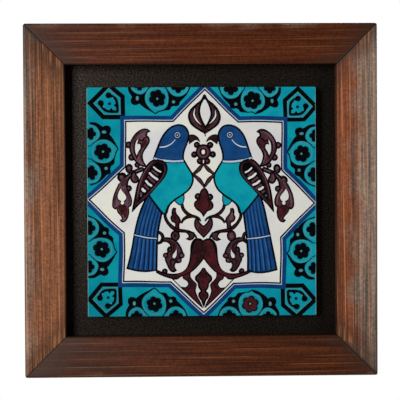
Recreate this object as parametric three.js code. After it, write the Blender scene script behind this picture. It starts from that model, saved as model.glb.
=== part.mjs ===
// A framed decorative wall tile: one square glazed tile glued to a black backing board, inside a
// deep square frame of four mitred wooden rails. It hangs on a wall.
//
// Millimetres, +Z up. The tile faces -Y and the wall is the plane y = 0, behind it. The origin is
// the middle of the top rail's back face, where the frame bears on the wall. The nail that carries
// the frame sits just below that face, under the ledge that the board's pocket leaves in the rail.

import * as THREE from "three";

// Driving sizes.
const TILE_SIZE = 200; // side of the square tile
const TILE_THICKNESS = 7;
const TILE_EASE = 1.2; // the softened edge all round the tile's two faces
const TILE_CORNER_RADIUS = 0.8; // the tile's corners, seen from the front
const TILE_SHIFT_X = 0.6; // the tile was glued a little right of centre
const TILE_SHIFT_Z = -1.3; // and a little low
const BOARD_MARGIN = 17.2; // black board showing between the tile and each rail
const BOARD_THICKNESS = 4;
const RAIL_WIDTH = 35.5; // front face of a rail, from the outer edge to the opening
const RAIL_DEPTH = 22; // from the wall to the rail's front face
const POCKET_WIDTH = 7; // the rabbet behind the opening that takes the board
const POCKET_DEPTH = 10; // from the wall to the shoulder that the board bears on
const FRONT_ARRIS = 1.5; // radius of a rail's two front edges
const BACK_ARRIS = 0.8; // radius of a rail's outer back edge
const FIT_GAP = 0.3; // clearance of the board in its pocket, and the thickness of each glue line

// Segments of a quarter round.
const ARRIS_STEPS = 5;

// Worked out from the driving sizes.
const OPENING = TILE_SIZE + 2 * BOARD_MARGIN;
const FRAME_SIZE = OPENING + 2 * RAIL_WIDTH;
const BOARD_SIZE = OPENING + 2 * POCKET_WIDTH - 2 * FIT_GAP;
const BOARD_FRONT_Y = FIT_GAP - POCKET_DEPTH;
const TILE_BACK_Y = BOARD_FRONT_Y - FIT_GAP;
const BACK_FACE_WIDTH = RAIL_WIDTH - POCKET_WIDTH;
const CENTRE_Z = BACK_FACE_WIDTH / 2 - FRAME_SIZE / 2;

function material(name, colour, roughness, metalness = 0) {
  const made = new THREE.MeshStandardMaterial({ color: colour, roughness, metalness });
  made.name = name;
  return made;
}

const MATERIALS = {
  topRail: material("stained_wood_red_brown", 0x502d1e, 0.6),
  bottomRail: material("stained_wood_dark_brown", 0x4a2a1d, 0.6),
  leftRail: material("stained_wood_light_brown", 0x7a543e, 0.6),
  rightRail: material("stained_wood_grey_brown", 0x755849, 0.6),
  board: material("black_board", 0x1f1b18, 0.9),
  tile: material("turquoise_glaze", 0x058da1, 0.2),
};

function mesh(name, geometry, look) {
  const made = new THREE.Mesh(geometry, look);
  made.name = name;
  return made;
}

// A rail's section. Across runs from the outer edge of the frame, 0, to the opening; depth runs
// from the wall, 0, to the front face.
function railSection() {
  const section = new THREE.Shape();
  section.moveTo(BACK_ARRIS, 0);
  section.lineTo(BACK_FACE_WIDTH, 0);
  section.lineTo(BACK_FACE_WIDTH, POCKET_DEPTH);
  section.lineTo(RAIL_WIDTH, POCKET_DEPTH);
  section.lineTo(RAIL_WIDTH, RAIL_DEPTH - FRONT_ARRIS);
  section.absarc(RAIL_WIDTH - FRONT_ARRIS, RAIL_DEPTH - FRONT_ARRIS, FRONT_ARRIS, 0, Math.PI / 2);
  section.lineTo(FRONT_ARRIS, RAIL_DEPTH);
  section.absarc(FRONT_ARRIS, RAIL_DEPTH - FRONT_ARRIS, FRONT_ARRIS, Math.PI / 2, Math.PI);
  section.lineTo(0, BACK_ARRIS);
  section.absarc(BACK_ARRIS, BACK_ARRIS, BACK_ARRIS, Math.PI, 1.5 * Math.PI);
  return section;
}

// The top rail about the frame's centre. The section is extruded along the rail, and each end is
// then slid to the mitre: the further a point is from the frame's outer edge, the shorter the rail.
function mitredRail() {
  const geometry = new THREE.ExtrudeGeometry(railSection(), {
    depth: 1,
    steps: 1,
    curveSegments: ARRIS_STEPS,
    bevelEnabled: false,
  });
  const mitreSetBack = (FIT_GAP / 2) * Math.SQRT2;
  const points = geometry.attributes.position;
  for (let i = 0; i < points.count; i += 1) {
    const across = points.getX(i);
    const depth = points.getY(i);
    const halfLength = FRAME_SIZE / 2 - across - mitreSetBack;
    const end = points.getZ(i) > 0.5 ? -1 : 1;
    points.setXYZ(i, end * halfLength, -depth, FRAME_SIZE / 2 - across);
  }
  geometry.computeVertexNormals();
  return geometry;
}

// Each rail is the same piece, turned a quarter further round the frame's centre.
function frameRails() {
  const rails = new THREE.Group();
  const places = [
    ["rail_top", MATERIALS.topRail],
    ["rail_right", MATERIALS.rightRail],
    ["rail_bottom", MATERIALS.bottomRail],
    ["rail_left", MATERIALS.leftRail],
  ];
  places.forEach(([name, look], quarter) => {
    const rail = mesh(name, mitredRail(), look);
    rail.rotation.y = (quarter * Math.PI) / 2;
    rails.add(rail);
  });
  return rails;
}

function backingBoard() {
  const board = mesh(
    "backing_board",
    new THREE.BoxGeometry(BOARD_SIZE, BOARD_THICKNESS, BOARD_SIZE),
    MATERIALS.board,
  );
  board.position.y = BOARD_FRONT_Y + BOARD_THICKNESS / 2;
  return board;
}

// A square with rounded corners, drawn about its own centre.
function roundedSquare(side, radius) {
  const half = side / 2;
  const inner = half - radius;
  const outline = new THREE.Shape();
  outline.moveTo(inner, -half);
  outline.absarc(inner, -inner, radius, -Math.PI / 2, 0);
  outline.absarc(inner, inner, radius, 0, Math.PI / 2);
  outline.absarc(-inner, inner, radius, Math.PI / 2, Math.PI);
  outline.absarc(-inner, -inner, radius, Math.PI, 1.5 * Math.PI);
  return outline;
}

// The pressed and glazed tile: a flat slab with eased edges.
function wallTile() {
  const geometry = new THREE.ExtrudeGeometry(
    roundedSquare(TILE_SIZE - 2 * TILE_EASE, TILE_CORNER_RADIUS),
    {
      depth: TILE_THICKNESS - 2 * TILE_EASE,
      steps: 1,
      curveSegments: ARRIS_STEPS,
      bevelEnabled: true,
      bevelSize: TILE_EASE,
      bevelThickness: TILE_EASE,
      bevelSegments: ARRIS_STEPS,
    },
  );
  // The outline was drawn in X and Y: this stands it up, with its thickness running to -Y.
  geometry.rotateX(Math.PI / 2);
  const tile = mesh("wall_tile", geometry, MATERIALS.tile);
  tile.position.set(TILE_SHIFT_X, TILE_BACK_Y - TILE_EASE, TILE_SHIFT_Z);
  return tile;
}

const framedTile = new THREE.Group();
framedTile.name = "framed_tile";
framedTile.add(frameRails(), backingBoard(), wallTile());
framedTile.position.z = CENTRE_Z;

export default framedTile;
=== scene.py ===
# A hand-painted wall tile in a deep mitred wooden frame, dressed for the eye on top of its solids.
#
# Metres, +Z up. The tile faces -Y and the wall is the plane y = 0 behind it. The painting is drawn in
# millimetres on the tile's face, about the middle of its star, and is colour alone: the face is flat.

import math

import bmesh
import bpy
import numpy as np
from mathutils import Matrix, Vector
from mathutils.geometry import delaunay_2d_cdt


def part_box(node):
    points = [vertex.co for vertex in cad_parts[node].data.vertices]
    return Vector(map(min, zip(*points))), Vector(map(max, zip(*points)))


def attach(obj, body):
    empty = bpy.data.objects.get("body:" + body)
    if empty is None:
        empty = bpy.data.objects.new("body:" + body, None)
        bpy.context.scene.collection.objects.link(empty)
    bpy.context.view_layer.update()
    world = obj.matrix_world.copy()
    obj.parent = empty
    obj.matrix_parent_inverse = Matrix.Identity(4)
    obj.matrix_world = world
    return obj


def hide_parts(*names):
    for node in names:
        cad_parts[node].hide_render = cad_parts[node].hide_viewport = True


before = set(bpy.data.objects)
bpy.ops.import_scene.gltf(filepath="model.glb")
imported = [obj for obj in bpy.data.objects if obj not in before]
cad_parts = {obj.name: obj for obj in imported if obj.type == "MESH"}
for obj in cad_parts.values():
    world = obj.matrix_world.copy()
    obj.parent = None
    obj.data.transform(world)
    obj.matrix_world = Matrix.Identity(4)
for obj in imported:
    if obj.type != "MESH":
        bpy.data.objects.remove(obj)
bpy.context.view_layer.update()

bl_info = {
    "name": "Framed Wall Tile",
    "version": (1, 0, 0),
    "blender": (4, 5, 0),
    "location": "3D View > Sidebar > Framed Tile",
    "description": "A glazed wall tile with two painted birds, on a black board in a mitred wooden frame",
    "category": "Object",
}

MM = 0.001


def size_of(node):
    """The lowest and highest corner of one of the part's solids."""
    low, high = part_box(node)
    return Vector(low), Vector(high)


TILE_LOW, TILE_HIGH = size_of("wall_tile")
BOARD_LOW, BOARD_HIGH = size_of("backing_board")
TOP_LOW, TOP_HIGH = size_of("rail_top")
BOTTOM_LOW = size_of("rail_bottom")[0]
FRAME_CENTRE = Vector((0.0, 0.0, (TOP_HIGH.z + BOTTOM_LOW.z) / 2))
FRAME_HALF = TOP_HIGH.z - FRAME_CENTRE.z

# The middle of the painted star, in millimetres right and up from the middle of the tile. The pattern was
# pounced onto the tile a little small and a little askew.
PATTERN_SHIFT_U = 1.27
PATTERN_SHIFT_V = 0.25
PATTERN_SCALE = 0.991
PATTERN_TURN = -0.3

# How many steps round off the face's edge, and each of its corners.
EASE_STEPS = 4
CORNER_STEPS = 6

# How wide the rim round the face is, in millimetres. Down the left and right sides it is glazed pale:
# partly thin glaze, partly a painted highlight where the side lights catch the eased edge.
RIM_WIDTH = 1.3

# Points of the face that are nearer to each other than this, in millimetres, are laid as one.
MERGE = 1e-4

# The edge of the tile's back is eased in two steps, which meet at this share of its radius.
BACK_EASE = 0.3

# How far a wave texture of scale 1 runs in one turn.
WAVE_TURN = math.pi / 10

# The camera that took the photograph, fitted to the corners of the frame, the opening and the tile.
CAMERA_PLACE = (-0.0518, -1.522, -0.09855)
CAMERA_YAW = -1.934
CAMERA_PITCH = -1.512
CAMERA_ROLL = 0.272
CAMERA_LENS = 156.6

# Each rail: its solid, its slot, the axis that it runs along, where it is rubbed grey, from and to, in
# millimetres from the frame's centre line, where more stain pooled along it, from and to, in millimetres
# from the frame's centre, how strongly its growth lines show, and the seed of its grain.
RAILS = (
    ("rail_top", "wood_top", "X", 150, 170, -60, -120, 0.3, 3.1),
    ("rail_right", "wood_right", "Z", 124, 146, 10, -130, 0.7, 7.4),
    ("rail_bottom", "wood_bottom", "X", 150, 170, 0, -130, 0.32, 11.9),
    ("rail_left", "wood_left", "Z", 136, 158, 80, 125, 0.7, 17.2),
)

# How far apart the rails' growth lines run, in millimetres, and how many degrees they lean.
RING_SPACING = 7
RING_LEAN = 0.7

# The lengths that a user may change: their names, what they are, and their sizes in millimetres.
SIZES = {
    "front_arris": ("Front arris", "Radius of a rail's two front edges", 1.5),
    "back_arris": ("Back arris", "Radius of a rail's outer back edge", 0.8),
    "pocket_depth": ("Pocket depth", "Depth of the rabbet that takes the board", 10),
    "pocket_width": ("Pocket width", "Width of the rabbet that takes the board", 7),
    "joint_gap": ("Joint gap", "Space between two rails at a mitre", 0.02),
    "joint_ease": ("Joint ease", "How far a mitre's front edges are softened", 0.12),
    "tile_ease": ("Tile ease", "The softened edge round the tile's faces", 1.0),
    "corner_round": ("Frame corner", "Radius that the frame's outer corners are sanded to", 2.4),
    "tile_corner": ("Tile corner", "Radius of the tile's corners", 2.0),
}

# The board's eased edge, the reach of a cutter past what it cuts, how near counts as the same place, and
# how far behind its edge the face still counts as glazed.
BOARD_EASE = 0.3 * MM
CLEARANCE = 1 * MM
SAME_PLACE = 0.02 * MM
GLAZED_DEPTH = 0.1 * MM

# Where the bake's map puts the face, and how wide the strips and the back beside it are.
MAP_EDGE = 0.005
FACE_SHARE = 0.86
BESIDE_FACE = 0.885
BACK_SHARE = 0.1
STRIP = 0.05
DEPTH_SHARE = 0.005

# Fixed sRGB tones: end grain that drank stain, grey wax, bare tan wood, the dark of the joints and the
# arrises, which is wax in the joints and painted shade on the inner arrises, the rails' bare back, the
# tile's clay from dark to pale, the board's bare fibres, the tint of the black paint's shine, and the
# floor.
SOAKED_END = "#3a261c"
GREY_WAX = "#3a302b"
BARE_TAN = "#a56f48"
DARK_WAX_AND_SHADE = "#1f110c"
BARE_BACK = "#a3835f"
CLAY_TONES = ("#c9bda4", "#ddd3bd")
FIBRE_TONES = ("#5a3d27", "#7a573a")
WARM_SHINE = "#ffe9d8"
FLOOR_TONE = "#e9e9e7"

# The studio: the floor's radius and height, and each light's place, width, height and watts.
FLOOR_RADIUS = 0.7
FLOOR_HEIGHT = -0.75
LIGHTS = {
    "left_soft_box": ((-1.1, -1.3, 0.2), 0.6, 1.3, 33),
    "right_soft_box": ((1.6, -0.9, 0.0), 0.8, 0.8, 8),
    "back_soft_box": ((0.7, 1.4, 0.4), 0.8, 0.8, 12),
}
AMBIENT = 0.03

# Each stain and paint that a user may change: its name and its sRGB colour.
STAINS = {
    # The side rails' stains are paler than the top and bottom ones: partly their own stain, partly a
    # painted sheen of the side lights along their upright grain.
    "rail_top": ("Top rail's stain", "#4e220c"),
    "rail_right": ("Right rail's stain and painted sheen", "#7a4226"),
    "rail_bottom": ("Bottom rail's stain", "#461f0a"),
    "rail_left": ("Left rail's stain and painted sheen", "#7a4d34"),
    "streak": ("Growth lines", "#a06c4a"),
    "worn": ("Rubbed wood", "#7f6a5c"),
    "board": ("Backing board's paint", "#171310"),
}

# Each glaze: its name, its sRGB colour, the factors that it drifts to where it pooled, the size of those
# clouds in millimetres, and how strongly the brush marks mottle it.
GLAZES = {
    "white": ("white_tin_glaze", "#e0dfd4", (0.88, 0.88, 1.0), 30, 0.015),
    "white_line": ("white_glaze_line", "#a9b7c9", (1.2, 1.2, 1.1), 14, 0.0),
    "turquoise": ("turquoise_copper_glaze", "#048ea2", (3.5, 1.22, 1.1), 13, 0.09),
    "pale_turquoise": ("pale_turquoise_glaze", "#35919a", (1.5, 1.05, 1.05), 6, 0.05),
    "pale_dot": ("pale_grey_glaze", "#43828b", (1.3, 1.2, 1.15), 6, 0.0),
    "cobalt_band": ("cobalt_band_glaze", "#0a3566", (1.6, 1.3, 1.3), 16, 0.05),
    "cobalt": ("cobalt_glaze", "#103a6b", (1.7, 1.5, 1.35), 12, 0.09),
    "cobalt_dark": ("dark_cobalt_brushwork", "#081b3e", (1.3, 1.4, 1.4), 8, 0.05),
    "cobalt_pale": ("pale_cobalt_brushwork", "#27568c", (1.5, 1.3, 1.2), 8, 0.05),
    "cobalt_dot": ("cobalt_dot_glaze", "#0a2a4a", (1.2, 1.2, 1.2), 8, 0.0),
    "manganese": ("manganese_glaze", "#3b232a", (1.7, 1.6, 1.6), 5, 0.3),
    "manganese_dark": ("dark_manganese_glaze", "#231012", (2.2, 1.7, 1.7), 4, 0.35),
    "manganese_red": ("red_manganese_glaze", "#4b1a1f", (0.55, 0.8, 0.8), 5, 0.35),
    "manganese_wash": ("thin_manganese_wash", "#5d404a", (1.3, 1.3, 1.3), 4, 0.25),
    "black": ("black_outline_pigment", "#030407", (1.6, 1.6, 1.8), 8, 0.0),
    "rim": ("thin_glaze_over_the_edge", "#8ab4b4", (0.45, 0.7, 0.7), 10, 0.1),
}

# From here to picture, lengths are millimetres on the tile's face, from the centre of the star: across to
# the right, then up.
STEP = 0.8
BLACK_LINE = 1.3
WHITE_LINE = 0.7
COBALT_BAND = 3.5
BRUSH_LINE = 1.4

# A scroll's brown stroke is narrower than the black one under it by this much, and never thinner than that.
STEM_EDGE = 1.9
STEM_LEAST = 0.15

# A petal's radius, and how far out it sits, as shares of the flower's.
PETAL = 0.41
PETAL_REACH = 0.6

# The star's corners. It was ruled by eye, so its arms differ a little.
STAR_CORNERS = [
    (1.5, 96.6), (-26.5, 69.2), (-67.3, 69.2), (-67.1, 30.2), (-98.7, 1.4), (-68.4, -27.4), (-68.5, -69.5),
    (-27.7, -69.4), (0.3, -96.7), (26.7, -70.7), (67.3, -71.0), (67.0, -31.2), (96.2, -1.7), (68.1, 27.5),
    (67.9, 68.8), (30.1, 68.7),
]


def polar(centre, reach, angle):
    """The point that lies a distance from another, at an angle in radians."""
    return (centre[0] + reach * math.cos(angle), centre[1] + reach * math.sin(angle))


def spline(points, closed=False):
    """A smooth line through a few points, as a liner brush would draw it."""
    count = len(points)
    drawn = []
    for i in range(count if closed else count - 1):
        if closed:
            before, start, end, after = (points[(i + k) % count] for k in (-1, 0, 1, 2))
        else:
            start, end = points[i], points[i + 1]
            before = points[i - 1] if i else (2 * start[0] - end[0], 2 * start[1] - end[1])
            after = points[i + 2] if i + 2 < count else (2 * end[0] - start[0], 2 * end[1] - start[1])
        span = math.dist(start, end)
        pull_in = span / max(span + math.dist(before, start), 1e-6)
        pull_out = span / max(span + math.dist(end, after), 1e-6)
        steps = max(1, round(span / STEP))
        for k in range(steps):
            t = k / steps
            h00 = 2 * t**3 - 3 * t**2 + 1
            h10 = t**3 - 2 * t**2 + t
            h01 = -2 * t**3 + 3 * t**2
            h11 = t**3 - t**2
            drawn.append(tuple(
                h00 * s + h10 * (e - b) * pull_in + h01 * e + h11 * (a - s) * pull_out
                for b, s, e, a in zip(before, start, end, after)
            ))
    if not closed:
        drawn.append(tuple(points[-1]))
    return drawn


def outline(*runs):
    """A closed outline of smooth runs that meet at sharp corners. Each starts where the last one ended."""
    if len(runs) == 1:
        return spline(runs[0], closed=True)
    drawn = []
    for i, run in enumerate(runs):
        drawn += spline([runs[i - 1][-1], *run])[:-1]
    return drawn


def area(points):
    """The area inside an outline, which is negative where it runs clockwise."""
    return sum(a[0] * b[1] - b[0] * a[1] for a, b in zip(points, points[1:] + points[:1])) / 2


def grown(points, by):
    """The outline moved outwards by a distance, or inwards where it is negative."""
    if area(points) < 0:
        points = points[::-1]
    made = []
    count = len(points)
    for i in range(count):
        before, here, after = points[i - 1], points[i], points[(i + 1) % count]
        first = math.atan2(here[1] - before[1], here[0] - before[0])
        second = math.atan2(after[1] - here[1], after[0] - here[0])
        turn = (second - first + math.pi) % (2 * math.pi) - math.pi
        # At a sharp corner the outline is blunted rather than drawn out to a spike.
        reach = by / max(math.cos(turn / 2), 0.45)
        made.append(polar(here, reach, first + turn / 2 - math.pi / 2))
    return made


def brush(points, *widths):
    """One stroke through points, whose width runs smoothly from the first to the last of widths."""
    line = spline(points)
    sides = ([], [])
    last = len(line) - 1
    for i, here in enumerate(line):
        before, after = line[max(i - 1, 0)], line[min(i + 1, last)]
        angle = math.atan2(after[1] - before[1], after[0] - before[0]) + math.pi / 2
        place = i / last * (len(widths) - 1)
        k = min(int(place), len(widths) - 2) if len(widths) > 1 else 0
        t = place - k
        half = widths[0] / 2 if len(widths) == 1 else (widths[k] * (1 - t) + widths[k + 1] * t) / 2
        for side, reach in zip(sides, (half, -half)):
            side.append(polar(here, reach, angle))
    return sides[1] + sides[0][::-1]


def arc(centre, radius, start=0, end=360, squash=1.0):
    """Points on a circle, or part of one, from one angle in degrees to another."""
    steps = max(6, round(abs(end - start) / 360 * 2 * math.pi * radius / (STEP * 0.75)))
    drawn = []
    for k in range(steps if abs(end - start) >= 360 else steps + 1):
        angle = math.radians(start + (end - start) * k / steps)
        drawn.append((centre[0] + radius * math.cos(angle), centre[1] + radius * squash * math.sin(angle)))
    return drawn


def stroke(glaze, points, *widths):
    """One brush stroke of a glaze."""
    return [(glaze, brush(points, *widths))]


def dot(glaze, centre, radius, squash=1.0):
    """A round dot of a glaze."""
    return [(glaze, arc(centre, radius, squash=squash))]


def patch(glaze, *runs):
    """A glaze laid flat within an outline."""
    return [(glaze, outline(*runs))]


def edged(glaze, shape, line=BRUSH_LINE, ink="black"):
    """A filled shape with a brush line round it."""
    return [(ink, grown(shape, line / 2)), (glaze, grown(shape, -line / 2))]


def slit(shape):
    """A slit of bare white in a leaf, with a black line round it."""
    return [("black", grown(shape, 0.8)), ("white", grown(shape, -0.1))]


def bead(centre, radius, glaze="manganese"):
    """A small berry at the end of a scroll, with a lighter spot up to its left that is a painted highlight.
    """
    shine = (centre[0] - radius * 0.15, centre[1] + radius * 0.15)
    return edged(glaze, arc(centre, radius)) + dot("manganese_wash", shine, radius * 0.3)


def stem(points, *widths, glaze="manganese_dark"):
    """A scroll's stem: a brown stroke between two black lines."""
    inner = [max(width - STEM_EDGE, STEM_LEAST) for width in widths]
    return stroke("black", points, *widths) + stroke(glaze, points, *inner)


def straight(points):
    """Straight lines between corners, cut into short pieces so that they can waver."""
    drawn = []
    for a, b in zip(points, points[1:] + points[:1]):
        steps = max(1, round(math.dist(a, b) / 3.0))
        drawn += [
            (a[0] + (b[0] - a[0]) * k / steps, a[1] + (b[1] - a[1]) * k / steps) for k in range(steps)
        ]
    return drawn


def star_ground():
    """The star's white ground, with its two lines and the cobalt band round them."""
    lines = BLACK_LINE + WHITE_LINE
    bands = (
        ("cobalt_band", lines + COBALT_BAND),
        ("white_line", lines),
        ("black", BLACK_LINE),
        ("white", 0),
    )
    return [(glaze, straight(grown(STAR_CORNERS, offset))) for glaze, offset in bands]


def flower(centre, radius, petals, turn):
    """A black flower with round petals."""
    middle = radius * PETAL_REACH
    made = dot("black", centre, middle)
    for k in range(petals):
        made += dot("black", polar(centre, middle, 2 * math.pi * k / petals + turn), radius * PETAL)
    return made


def border_flower(heart, tip, reach):
    """One length of the border about its flower: across runs along the tile's edge, up runs towards it."""
    foot = (tip[0], tip[1] - 1.2)
    ogive_left = [
        (-4.9, 10.2), (-7.7, 7.5), (-10.0, 3.8), (-10.8, -0.2), (-10.1, -4.2), (-7.9, -7.4),
        (tip[0] - 3.0, tip[1] + 2.3), tip,
    ]
    ogive_right = [
        (tip[0] + 2.3, tip[1] + 1.5), (4.0, -9.9), (6.8, -8.3), (9.1, -5.2), (10.0, -0.9), (9.8, 3.2),
        (8.5, 7.2), (6.5, 10.2),
    ]
    ogive = outline(ogive_left, ogive_right, [(5.6, 14.0), (-3.9, 14.0)], [(-4.9, 10.2)])
    made = patch(
        "black",
        [(-25.3, 12.0), (-25.3, 7.9), (-24.4, 4.8), (-22.7, 2.2), (-21.9, 0.6)],
        [(-22.9, -1.6), (-22.6, -4.4), (-20.6, -6.2), (-17.6, -6.0), (-15.6, -5.0)],
        [(-13.4, -7.0), (-10.0, -9.3), (-5.9, -11.5), foot],
        [(-4.0, -4.0), (-5.9, 9.9)],
        [(-7.9, 7.9), (-10.5, 5.2), (-13.0, 3.3), (-16.0, 3.0), (-19.4, 4.5), (-22.1, 7.2), (-23.4, 12.0)],
        [(-25.3, 12.0)],
    )
    made += patch(
        "black",
        [foot, (tip[0] + 3.0, tip[1] + 0.6), (4.6, -10.8), (7.2, -10.2)],
        [(9.4, -10.2), (11.2, -9.2), (12.2, -7.4)],
        [(14.2, -6.4), (17.0, -6.8), (19.2, -5.6), (20.0, -3.0)],
        [(23.0, -0.2), (25.6, 2.7), (27.9, 6.6), (29.8, 12.0)],
        [(28.4, 12.0), (26.6, 6.5), (23.7, 3.5), (20.3, 2.0), (16.3, 2.2), (12.9, 3.8), (10.2, 6.9),
         (7.5, 10.4)],
        [(4.0, -4.0), foot],
    )
    made += [("black", grown(ogive, 0.8)), ("turquoise", ogive)]
    made += dot("pale_turquoise", (-0.2, 0.2), 10.1, squash=0.93)
    made += dot("turquoise", (-0.2, 0.2), 9.0, squash=0.93)
    made += flower((0.0, 0.2), reach, 6, 0.3)
    if heart != "black":
        made += [(heart, shape) for _, shape in flower((0.0, 0.2), reach - 1.2, 6, 0.3)]
        made += dot("black", (0.0, -0.2), 2.0)
    made += dot("pale_dot", (0.0, -0.2), 1.0)
    # Half flowers cut by the tile's edge.
    for centre, radius in (((-15.4, 11.6), 7.6), ((18.6, 11.2), 8.6)):
        made += dot("pale_turquoise", centre, radius)
        made += dot("turquoise", centre, radius - 1.3)
        made += flower(centre, radius - 2.2, 5, -1.57)
    made += dot("pale_dot", (-17.3, -0.4), 1.3, squash=1.5)
    made += dot("pale_dot", (14.4, -2.7), 1.4)
    return made


def cartouche(left_slip, right_slip):
    """The shield in each corner, about its dot. Its right angle points at the star's corner, and the two
    points of its long side slipped a little towards the tile's corner."""
    shield = straight([
        (-19.6, 0.4 + left_slip), (-0.4 - right_slip, 19.6), (13.8, 6.8), (13.6, -13.4), (-6.8, -13.6),
    ])
    made = [("black", shield), ("pale_turquoise", grown(shield, -3.9)), ("turquoise", grown(shield, -4.9))]
    for reach in (-1, 1):
        side = [(-7.8, 0.2), (-6.4, -3.0), (-3.8, -5.8), (0.4, -6.8), (7.2, -7.0)]
        blob, cusp = (-7.6, 0.6), [(-0.4, -6.0), (1.4, -3.6), (3.4, -6.0)]
        if reach > 0:
            side, cusp = ([(-v, -u) for u, v in line] for line in (side, cusp))
            blob = (-blob[1], -blob[0])
        made += stroke("black", side, 3.0, 2.6, 2.4, 2.4, 2.4) + dot("black", blob, 2.7) + [("black", cusp)]
    made += dot("pale_dot", (-5.2, -2.6), 0.8) + dot("pale_dot", (3.0, 5.0), 0.8)
    return made + dot("cobalt_dot", (0.0, 0.0), 1.5)


def flame():
    """The flame-shaped palmette at the star's upper point."""
    body = outline(
        [(1.0, 93.4), (-1.6, 87.8), (-6.6, 83.6), (-11.2, 79.0), (-12.8, 73.4), (-10.8, 68.0),
         (-5.8, 63.8), (1.4, 59.4)],
        [(7.4, 63.6), (12.2, 68.0), (14.2, 73.6), (12.8, 79.4), (8.6, 84.4), (3.6, 88.2), (1.0, 93.4)],
    )
    core = outline(
        [(1.3, 89.6), (-2.0, 83.4), (-2.8, 77.0), (-0.8, 70.6), (1.7, 66.2)],
        [(4.2, 71.2), (5.8, 76.6), (4.6, 82.6), (1.3, 89.6)],
    )
    made = edged("manganese_dark", body, 1.6)
    for glaze, points, widths in (
        ("manganese", [(-9.6, 78.8), (-10.4, 73.2), (-6.6, 67.0), (-1.2, 62.6)], (0.7, 2.2, 2.2, 0.9)),
        ("manganese", [(11.4, 78.8), (11.8, 73.4), (9.0, 67.8), (4.2, 63.0)], (0.7, 2.2, 2.2, 0.9)),
        ("manganese", [(-0.6, 87.0), (-5.4, 81.2), (-5.6, 74.6), (-2.4, 68.6)], (0.6, 1.5, 1.5, 0.6)),
        ("manganese", [(2.8, 87.0), (8.0, 80.8), (7.6, 75.0), (4.6, 69.6)], (0.6, 1.5, 1.5, 0.6)),
        ("black", [(-7.4, 80.6), (-8.3, 75.6), (-6.0, 70.6), (-2.4, 67.0)], (1.2, 2.7, 2.7, 1.0)),
        ("white", [(-7.4, 80.6), (-8.3, 75.6), (-6.0, 70.6), (-2.4, 67.0)], (0.3, 1.3, 1.2, 0.3)),
        ("black", [(10.2, 79.8), (10.2, 74.8), (7.4, 70.4), (5.0, 68.0)], (1.2, 2.7, 2.7, 1.0)),
        ("white", [(10.2, 79.8), (10.2, 74.8), (7.4, 70.4), (5.0, 68.0)], (0.3, 1.3, 1.2, 0.3)),
    ):
        made += stroke(glaze, points, *widths)
    made += [("black", grown(core, 1.7)), ("white", core)]
    made += stroke("black", [(1.0, 93.6), (1.2, 88.4)], 0.5, 2.4)
    return made + stroke("black", [(1.0, 61.0), (1.8, 56.4)], 1.5, 0.7)


def small_rosette():
    """The ring and its six beads between the birds' beaks."""
    centre = (0.4, 42.8)
    made = []
    for angle in (133, 47, 196, -12, 248, 294):
        made += bead(polar(centre, 8.4, math.radians(angle)), 2.2, "manganese_dark")
    made += edged("manganese", arc(centre, 6.1))
    made += dot("manganese_wash", centre, 4.2) + dot("manganese_dark", centre, 3.7)
    return made + dot("black", centre, 2.6, 1.15) + dot("white", centre, 1.6, 1.25)


def diamond_knot():
    """Four concave stems between the birds' breasts."""
    top, right, bottom, left = (0.4, 33.2), (10.0, 23.6), (0.6, 12.4), (-9.2, 23.6)
    made = []
    for a, b in ((top, right), (right, bottom), (bottom, left), (left, top)):
        middle = ((a[0] + b[0]) / 2 * 0.93, 23.2 + ((a[1] + b[1]) / 2 - 23.2) * 0.86)
        made += stem([a, middle, b], 2.4, 4.0, 2.4, glaze="manganese")
    return made


def palmette():
    """The lobed leaf that hangs from the knot."""
    made = bead((-5.0, 3.9), 2.3, "manganese_dark") + bead((5.5, 3.7), 2.3, "manganese_dark")
    made += edged("manganese_red", outline(
        [(0.3, 11.6), (-2.6, 8.0), (-3.4, 4.0), (-4.2, 1.2)],
        [(-6.9, -0.8), (-7.6, -3.4), (-6.2, -6.0)],
        [(-4.4, -7.6), (-2.4, -8.9), (-1.0, -10.4), (0.4, -12.6)],
        [(1.9, -10.2), (3.4, -8.2)],
        [(5.8, -7.2), (7.9, -5.2), (8.0, -2.4), (6.6, -0.2), (4.8, 1.2)],
        [(3.9, 4.0), (3.3, 8.0), (0.3, 11.6)],
    ))
    for side in (-1, 1):
        vein = [(0.3 + side * 2.0, 3.0), (0.3 + side * 4.6, -1.6), (0.3 + side * 3.8, -6.2)]
        made += stroke("manganese_dark", vein, 0.8, 1.6, 0.8)
    made += stroke("black", [(0.4, 13.2), (0.3, 10.8)], 1.6, 1.6)
    return made


def heart():
    """The two-petalled heart under the leaf."""
    made = edged("manganese", outline(
        [(-5.4, -13.8), (-6.9, -18.0), (-6.6, -22.4), (-4.2, -26.6), (0.6, -31.6)],
        [(5.2, -26.6), (7.6, -22.4), (8.0, -18.0), (6.6, -13.4)],
        [(5.0, -17.0), (2.8, -20.4), (0.6, -22.3)],
        [(-1.6, -20.6), (-3.7, -17.4), (-5.4, -13.8)],
    ))
    made += patch(
        "manganese_red",
        [(-3.6, -22.4), (0.7, -24.2), (5.0, -22.2), (3.4, -26.2), (0.7, -29.2), (-2.2, -26.2)],
    )
    return made


def sided(side, middle, *runs):
    """Runs of points that are given outwards from a middle line, on one side of it."""
    return [[(middle + side * u, v) for u, v in run] for run in runs]


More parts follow.
